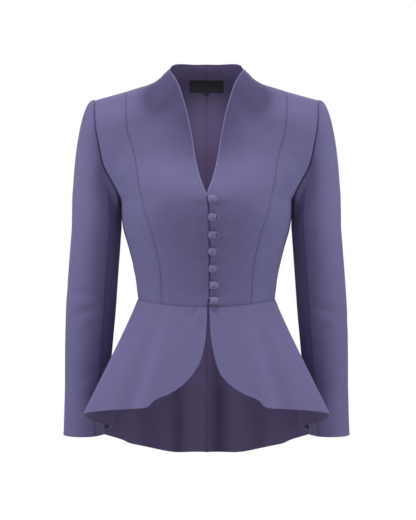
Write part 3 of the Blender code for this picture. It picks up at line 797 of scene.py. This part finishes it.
def finished(name, side, grid, turned):
    """The panel's inner face with seams rolled in, and each point's way to seams and edges."""
    distance = border_distance(grid)
    seam = np.full(grid.shape[:2], NO_EDGE)
    edge = seam.copy()
    for sewn, here in zip(SEWN[name], distance):
        if sewn:
            seam = np.minimum(seam, here)
        else:
            edge = np.minimum(edge, here)
    if name == "back":
        collar = (BACK_AT < COLLAR_SHARE)[None, :]
        edge = np.where(collar, np.minimum(edge, distance[3]), edge)
        seam = np.where(collar, np.minimum.reduce(distance[:3]), seam)
    normal = face_normals(grid, turned)
    move = SEAM_PUFF * (1 - fade(seam, SEAM_PUFF_WIDTH))
    move = move + EDGE_ROLL * fade(edge - EDGE_ROLL_WIDTH, EDGE_ROLL_WIDTH)
    move = move + creased(name, side, grid) * (1 - fade(seam, CREASE_TO_SEAM))
    return grid + normal * move[..., None], seam, edge


def neck_shade(grid, edge):
    """Painted shade in the hollow beside the collar and along the standing neck edge."""
    x, z = np.abs(grid[..., 0]), grid[..., 2]
    hollow = sum(tone * spot(x, z, *patch) for tone, *patch in COLLAR_PAINTED_SHADE)
    rise = np.clip((z - NECK_BAND_FOOT_Z) / NECK_BAND_RISE, 0, 1)
    band = NECK_BAND_PAINTED_SHADE * rise * fade(edge, NECK_BAND_WIDTH)
    return hollow + band


def inner_painted_shade(name, grid):
    """Painted shade of the hanging folds that show inside the back of the peplum."""
    if "peplum_back" not in name:
        return np.zeros(grid.shape[:2])
    x, z = grid[..., 0], grid[..., 2]
    hang = np.clip((FOLD_TOP_Z - z) / FOLD_FULL_DROP, 0, 1)
    swing = x / (1 + FOLD_SPREAD * (hang - 1))
    return sum(tone * hang * fade(swing - at, width) for at, width, tone in INNER_FOLD_PAINTED_SHADE)


# Materials and meshes


def new_material(name):
    made = bpy.data.materials.new(name)
    made.use_nodes = True
    tree = made.node_tree
    shader = tree.nodes["Principled BSDF"]
    return made, tree, shader


def link(tree, source, target):
    tree.links.new(source, target)


def node(tree, kind, **values):
    made = tree.nodes.new(kind)
    for key, value in values.items():
        if key in made.bl_rna.properties:
            setattr(made, key, value)
        else:
            made.inputs[key.replace("_", " ")].default_value = value
    return made


def weighted(tree, value, weight, rest=None):
    """A value times its weight, added to the rest."""
    made = node(tree, "ShaderNodeMath", operation="MULTIPLY_ADD")
    link(tree, value, made.inputs[0])
    made.inputs[1].default_value = weight
    made.inputs[2].default_value = 0.0
    if rest:
        link(tree, rest, made.inputs[2])
    return made.outputs[0]


def cloth_material(name, light, dark, sheen, roughness, weave, tone):
    """A fine woven cloth: crossing threads, slubs along them, soft mottling, painted shade from a mark
    (darker sewn lines among it) and a painted edge highlight.
    """
    made, tree, shader = new_material(name)
    uv = node(tree, "ShaderNodeUVMap", uv_map="Cloth").outputs["UV"]
    threads = node(tree, "ShaderNodeMath", operation="MULTIPLY")
    for i, direction in enumerate("XY"):
        wave = node(
            tree, "ShaderNodeTexWave", wave_type="BANDS", bands_direction=direction,
            Scale=1 / weave, Distortion=0.6, Detail=1.0,
        )
        link(tree, uv, wave.inputs["Vector"])
        link(tree, wave.outputs["Fac"], threads.inputs[i])
    stretch = node(tree, "ShaderNodeMapping", Scale=SLUB_SCALE)
    link(tree, uv, stretch.inputs["Vector"])
    slub = node(tree, "ShaderNodeTexNoise", Scale=1.0, Detail=2.0)
    link(tree, stretch.outputs["Vector"], slub.inputs["Vector"])
    mottle = node(tree, "ShaderNodeTexNoise", Scale=MOTTLE_SCALE, Detail=3.0)
    link(tree, uv, mottle.inputs["Vector"])
    height = weighted(tree, mottle.outputs["Fac"], MOTTLE_SHARE)
    height = weighted(tree, slub.outputs["Fac"], SLUB_SHARE, height)
    height = weighted(tree, threads.outputs[0], THREAD_SHARE, height)
    ramp = node(tree, "ShaderNodeValToRGB")
    for stop, at, colour in zip(ramp.color_ramp.elements, (DARK_AT, LIGHT_AT), (dark, light)):
        stop.position = at
        stop.color = (*colour, 1.0)
    link(tree, height, ramp.inputs["Fac"])
    # Painted shade: the mark multiplies the colour towards the shade tint
    seam = node(tree, "ShaderNodeAttribute", attribute_name=tone)
    shade = node(tree, "ShaderNodeMix", data_type="RGBA", blend_type="MULTIPLY")
    shade.inputs["B"].default_value = PAINTED_SHADE_TINT
    link(tree, seam.outputs["Fac"], shade.inputs["Factor"])
    link(tree, ramp.outputs["Color"], shade.inputs["A"])
    # Painted highlight along the finished edges
    edge = node(tree, "ShaderNodeAttribute", attribute_name="edge_painted_highlight")
    glint = node(tree, "ShaderNodeMix", data_type="RGBA", blend_type="MIX")
    glint.inputs["B"].default_value = (*(min(1.0, c * GLINT_GAIN) for c in light), 1.0)
    link(tree, edge.outputs["Fac"], glint.inputs["Factor"])
    link(tree, shade.outputs["Result"], glint.inputs["A"])
    link(tree, glint.outputs["Result"], shader.inputs["Base Color"])
    rough = node(tree, "ShaderNodeMapRange")
    rough.inputs["To Min"].default_value = roughness - SMOOTHER
    rough.inputs["To Max"].default_value = roughness + ROUGHER
    link(tree, slub.outputs["Fac"], rough.inputs["Value"])
    link(tree, rough.outputs["Result"], shader.inputs["Roughness"])
    bump = node(tree, "ShaderNodeBump", Strength=BUMP_STRENGTH, Distance=BUMP_DISTANCE)
    link(tree, height, bump.inputs["Height"])
    link(tree, bump.outputs["Normal"], shader.inputs["Normal"])
    shader.inputs["Sheen Weight"].default_value = sheen
    shader.inputs["Sheen Roughness"].default_value = SHEEN_ROUGHNESS
    shader.inputs["Sheen Tint"].default_value = SHEEN_TINT
    shader.inputs["Specular IOR Level"].default_value = SPECULAR_LEVEL
    return made


def sheet_mesh(name, grid, turned, seam, edge, hollow, materials):
    """A quad sheet with cloth coordinates in metres and its sewn lines marked, carrying painted shade and
    a painted edge highlight as marks.
    """
    rows, columns = grid.shape[:2]
    index = np.arange(rows * columns).reshape(rows, columns)
    quads = np.stack([index[:-1, :-1], index[:-1, 1:], index[1:, 1:], index[1:, :-1]], axis=-1)
    quads = quads.reshape(-1, 4)
    if turned:
        quads = quads[:, ::-1]
    mesh = bpy.data.meshes.new(name)
    mesh.vertices.add(rows * columns)
    mesh.vertices.foreach_set("co", grid.reshape(-1))
    mesh.loops.add(quads.size)
    mesh.loops.foreach_set("vertex_index", quads.reshape(-1))
    mesh.polygons.add(len(quads))
    mesh.polygons.foreach_set("loop_start", np.arange(0, quads.size, 4))
    mesh.polygons.foreach_set("loop_total", np.full(len(quads), 4))
    mesh.update(calc_edges=True)
    left, _, low, _ = border_distance(grid)
    flat = np.stack([left - left[:, -1:] / 2, low], axis=-1).reshape(-1, 2)
    layer = mesh.uv_layers.new(name="Cloth")
    layer.data.foreach_set("uv", flat[quads.reshape(-1)].reshape(-1))
    # Painted shade along the sewn lines: a dark line on the seam and a soft halo beside it
    shade = SEAM_PAINTED_SHADE * fade(seam, SEAM_PAINTED_SHADE_WIDTH) + SEAM_HALO * fade(seam, SEAM_HALO_WIDTH)
    # Marks: painted shade (sewn lines, collar, darker by height), inner painted shade (fainter sewn
    # lines, inner folds), painted edge highlight
    marks = {
        "painted_shade": shade + hollow + np.interp(grid[..., 2], PAINTED_SHADE_BY_HEIGHT[:, 0], PAINTED_SHADE_BY_HEIGHT[:, 1]),
        "inner_painted_shade": INNER_SEAM_SHARE * shade + inner_painted_shade(name, grid),
        "edge_painted_highlight": EDGE_GLINT * fade(edge, EDGE_GLINT_WIDTH),
    }
    for mark, values in marks.items():
        layer = mesh.attributes.new(mark, "FLOAT", "POINT")
        layer.data.foreach_set("value", np.clip(values, 0, 1).reshape(-1))
    mesh.shade_smooth()
    for one in materials:
        mesh.materials.append(one)
    mesh.validate()
    return mesh


def add_object(name, data, place=(0.0, 0.0, 0.0), facing=None):
    obj = bpy.data.objects.new(name, data)
    bpy.context.scene.collection.objects.link(obj)
    obj.location = place
    if facing:
        obj.rotation_mode = "QUATERNION"
        obj.rotation_quaternion = facing
        bpy.context.view_layer.update()
    return obj


def add_piece(name, data, cad_node, place=(0.0, 0.0, 0.0), facing=None):
    """A visible piece that stands for one node of the solids."""
    obj = add_object(name, data, place, facing)
    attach(obj, "root")
    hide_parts(cad_node)
    return obj


def add_wall(obj, thickness):
    wall = obj.modifiers.new("Wall", "SOLIDIFY")
    wall.thickness = thickness
    wall.offset = 1.0
    return wall


def add_cloth(outer, inner):
    sleeves = sleeve_halves()
    as_built = {"front", "side_front", "peplum_front", "peplum_back"}
    for side, word in ((1, "left"), (-1, "right")):
        bodice = bodice_grids(side)
        grids = {name: bodice[name] for name in ("front", "side_front", "back")}
        grids.update(sleeves)
        grids.update(peplum_grids(side, bodice))
        for name, grid in grids.items():
            grid = grid * np.array([side, 1.0, 1.0])
            turned = (name in as_built) != (side > 0)
            grid, seam, edge = finished(name, side, grid, turned)
            # Painted shade round the collar, on the fronts only
            shade = neck_shade(grid, edge) if name == "front" else np.zeros_like(seam)
            # The painted edge highlight is kept to the fronts' neck edge above the V
            edge = np.where((grid[..., 2] > V_BOTTOM_Z) & (name == "front"), edge, NO_EDGE)
            full = f"{name}_{word}"
            mesh = sheet_mesh(f"cloth_{full}", grid, turned, seam, edge, shade, (outer, inner))
            obj = add_piece(f"cloth_{full}", mesh, full)
            add_wall(obj, WALL).material_offset = 1


def front_frame(x, z):
    """A point of the left front's outer face near the slit, its outward normal and its tangents."""
    step = 0.002
    angle = float(body_angle(x, z))
    here = body_point(angle, z, False)
    up = body_point(angle, z + step, False) - body_point(angle, z - step, False)
    up = Vector(up).normalized()
    right = Vector((1.0, 0.0, 0.0))
    right = (right - up * right.dot(up)).normalized()
    normal = right.cross(up).normalized()
    return Vector(here) + normal * WALL, normal, up, right


def button_profile():
    """Half outline of a covered button, from the top of its dome to the foot of its shank."""
    dome = [
        (BUTTON_RADIUS * math.sin(t), SHANK_HEIGHT + BUTTON_DOME * math.cos(t) ** 0.9)
        for t in np.linspace(0, math.pi / 2, 15)
    ]
    under = [
        (BUTTON_RADIUS * 0.985, SHANK_HEIGHT - 0.0002),
        (BUTTON_RADIUS * 0.92, SHANK_HEIGHT - 0.0004),
        (BUTTON_RADIUS * 0.70, SHANK_HEIGHT - 0.0004),
        (SHANK_RADIUS * 1.2, SHANK_HEIGHT - 0.0003),
        (SHANK_RADIUS, SHANK_HEIGHT - 0.0007),
        (SHANK_RADIUS, SEAM_GAP + 0.0002),
        (SHANK_RADIUS * 0.9, SEAM_GAP),
        (0.0, SEAM_GAP),
    ]
    return dome + under


def button_mesh(name, look, turn):
    """A dome covered in cloth that is gathered to the underside in small pleats."""
    profile = button_profile()
    around = BUTTON_SIDES
    points, faces = [], []
    for radius, height in profile[1:-1]:
        near_rim = fade(radius - BUTTON_RADIUS, PLEAT_WIDTH) * (height < SHANK_HEIGHT + PLEAT_HEIGHT)
        for i in range(around):
            angle = 2 * math.pi * i / around
            r = radius + PLEAT_DEPTH * near_rim * math.sin(PLEATS * angle + turn)
            points.append((r * math.cos(angle), r * math.sin(angle), height))
    rings = len(profile) - 2
    for ring in range(rings - 1):
        for i in range(around):
            a, b = ring * around + i, ring * around + (i + 1) % around
            faces.append((a, a + around, b + around, b))
    top = len(points)
    points += [(0, 0, profile[0][1]), (0, 0, profile[-1][1])]
    last = (rings - 1) * around
    for i in range(around):
        j = (i + 1) % around
        faces.append((top, i, j))
        faces.append((top + 1, last + j, last + i))
    mesh = bpy.data.meshes.new(name)
    mesh.from_pydata(points, [], faces)
    layer = mesh.uv_layers.new(name="Cloth")
    for loop in mesh.loops:
        p = mesh.vertices[loop.vertex_index].co
        layer.data[loop.index].uv = (p.x, p.y)
    mesh.shade_smooth()
    mesh.materials.append(look)
    return mesh


def add_buttons(look):
    for number, (x, z, _) in enumerate(BUTTONS, 1):
        foot, normal, _, _ = front_frame(x, z)
        name = f"covered_button_{number}"
        mesh = button_mesh(name, look, number * PLEAT_TURN)
        facing = normal.to_track_quat("Z", "Y")
        add_piece(name, mesh, f"button_{number}", foot, facing)


def loop_route(start, reach):
    height = LOOP_RADIUS + LOOP_LIFT
    straight = reach - LOOP_HALF_GAP - LOOP_RADIUS
    route = [(start, LOOP_HALF_GAP, height), (straight * 0.4, LOOP_HALF_GAP, height)]
    for i in range(LOOP_STEPS + 1):
        turn = math.pi / 2 - math.pi * i / LOOP_STEPS
        route.append((
            straight + LOOP_HALF_GAP * math.cos(turn), LOOP_HALF_GAP * math.sin(turn), height
        ))
    return route + [(a, -b, h) for a, b, h in reversed(route[:2])]


def add_loops(look):
    for number, (x, z, reach) in enumerate(BUTTONS, 1):
        foot, normal, up, right = front_frame(x, z)
        curve = bpy.data.curves.new(f"rouleau_{number}", "CURVE")
        curve.dimensions = "3D"
        curve.bevel_depth = LOOP_RADIUS * LOOP_FULLNESS
        curve.bevel_resolution = 5
        curve.use_fill_caps = True
        spline = curve.splines.new("POLY")
        flat_route = loop_route(LOOP_START_X - x, reach)
        route = [foot + right * a + up * b + normal * h for a, b, h in flat_route]
        spline.points.add(len(route) - 1)
        for point, at in zip(spline.points, route):
            point.co = (*at, 1.0)
        spline.use_smooth = True
        curve.materials.append(look)
        add_piece(f"rouleau_{number}", curve, f"loop_{number}")


def label_grid(width, height, middle_z, columns, rows):
    """Points of the inside of the back, drawn in from the cloth by the seam gap and a label's wall."""
    x = np.linspace(-width / 2, width / 2, columns + 1) + SEAM_GAP
    z = np.linspace(middle_z - height / 2, middle_z + height / 2, rows + 1)
    x, z = np.meshgrid(x, z)
    on_back = body_point(body_angle(np.abs(x), z), z, True)
    return np.stack([x, on_back[..., 1] - SEAM_GAP - LABEL_WALL * 1.15, z], axis=-1)


def add_label(look):
    tab_z = LABEL_Z - (LABEL_HEIGHT + TAB_HEIGHT) / 2 - SEAM_GAP
    for name, sizes in (
        ("neck_label", (LABEL_WIDTH, LABEL_HEIGHT, LABEL_Z, 48, 18)),
        ("size_tab", (TAB_WIDTH, TAB_HEIGHT, tab_z, 12, 10)),
    ):
        grid = label_grid(*sizes)
        far = np.full(grid.shape[:2], NO_EDGE)
        mesh = sheet_mesh(f"woven_{name}", grid, True, far, far, 0 * far, (look,))
        obj = add_piece(f"woven_{name}", mesh, name)
        add_wall(obj, LABEL_WALL)


# Stage


def add_stage():
    mesh = bpy.data.meshes.new("floor")
    turns = [2 * math.pi * i / FLOOR_SIDES for i in range(FLOOR_SIDES)]
    ring = [(FLOOR_RADIUS * math.cos(t), FLOOR_RADIUS * math.sin(t), FLOOR_Z) for t in turns]
    mesh.from_pydata(ring, [], [tuple(range(FLOOR_SIDES))])
    made, _, shader = new_material("floor_white")
    shader.inputs["Base Color"].default_value = (0.90, 0.90, 0.90, 1.0)
    shader.inputs["Roughness"].default_value = 0.9
    mesh.materials.append(made)
    floor = add_object("floor", mesh)


def add_area(name, place, target, size, power, colour, spread):
    light = bpy.data.lights.new(name, "AREA")
    light.shape = "DISK"
    light.size = size
    light.energy = power
    light.color = colour
    light.spread = math.radians(spread)
    facing = (Vector(target) - Vector(place)).to_track_quat("-Z", "Y")
    add_object(name, light, place, facing).visible_camera = False


WHITE, COOL = (1.0, 0.985, 1.0), (0.93, 1.0, 1.05)
# Studio lights; columns: name, place, point lit, width, watts, colour, spread in degrees
LIGHTS = [
    ("top", (0.0, -0.9, 2.3), (0.0, -0.05, -0.2), 1.2, 54.0, WHITE, 180),
    ("left", (-2.3, -0.8, 0.6), (0.0, 0.0, -0.35), 1.2, 43.0, COOL, 180),
    ("right", (2.3, -0.8, 0.6), (0.0, 0.0, -0.35), 1.2, 40.0, COOL, 180),
    ("front", (0.0, -2.8, -0.2), (0.0, 0.0, -0.35), 1.6, 6.0, WHITE, 180),
    ("rear", (0.0, 2.6, 1.0), (0.0, 0.0, -0.35), 1.6, 40.0, WHITE, 180),
    ("inside_neck", (0.0, -0.03, -0.06), (0.0, 0.10, -0.085), 0.06, 0.044, WHITE, 100),
    ("inside_peplum", (0.0, -0.07, -0.42), (0.0, 0.16, -0.64), 0.12, 0.050, WHITE, 110),
]


def add_light():
    world = bpy.data.worlds.new("studio")
    world.use_nodes = True
    tree = world.node_tree
    back = tree.nodes["Background"]
    back.inputs["Color"].default_value = (1.0, 1.0, 1.0, 1.0)
    path = tree.nodes.new("ShaderNodeLightPath")
    strength = tree.nodes.new("ShaderNodeMapRange")
    strength.inputs["To Min"].default_value = WORLD_STRENGTH
    strength.inputs["To Max"].default_value = 1.0
    tree.links.new(path.outputs["Is Camera Ray"], strength.inputs["Value"])
    tree.links.new(strength.outputs["Result"], back.inputs["Strength"])
    bpy.context.scene.world = world
    for row in LIGHTS:
        add_area(*row)


def add_camera():
    data = bpy.data.cameras.new("camera")
    data.sensor_fit = "AUTO"
    data.sensor_width = SENSOR
    data.lens = SENSOR * CAMERA_DISTANCE / (PHOTO_HEIGHT * METRES_PER_PIXEL)
    obj = add_object("camera", data, (CAMERA_X, -CAMERA_DISTANCE, CAMERA_Z))
    obj.rotation_euler = (math.pi / 2, 0.0, 0.0)
    bpy.context.scene.camera = obj


bpy.context.scene.view_settings.view_transform = "Standard"
suiting, inside, covered, rolled, black = [cloth_material(*row) for row in CLOTHS]
add_camera()
add_cloth(suiting, inside)
add_buttons(covered)
add_loops(rolled)
add_label(black)
add_stage()
add_light()
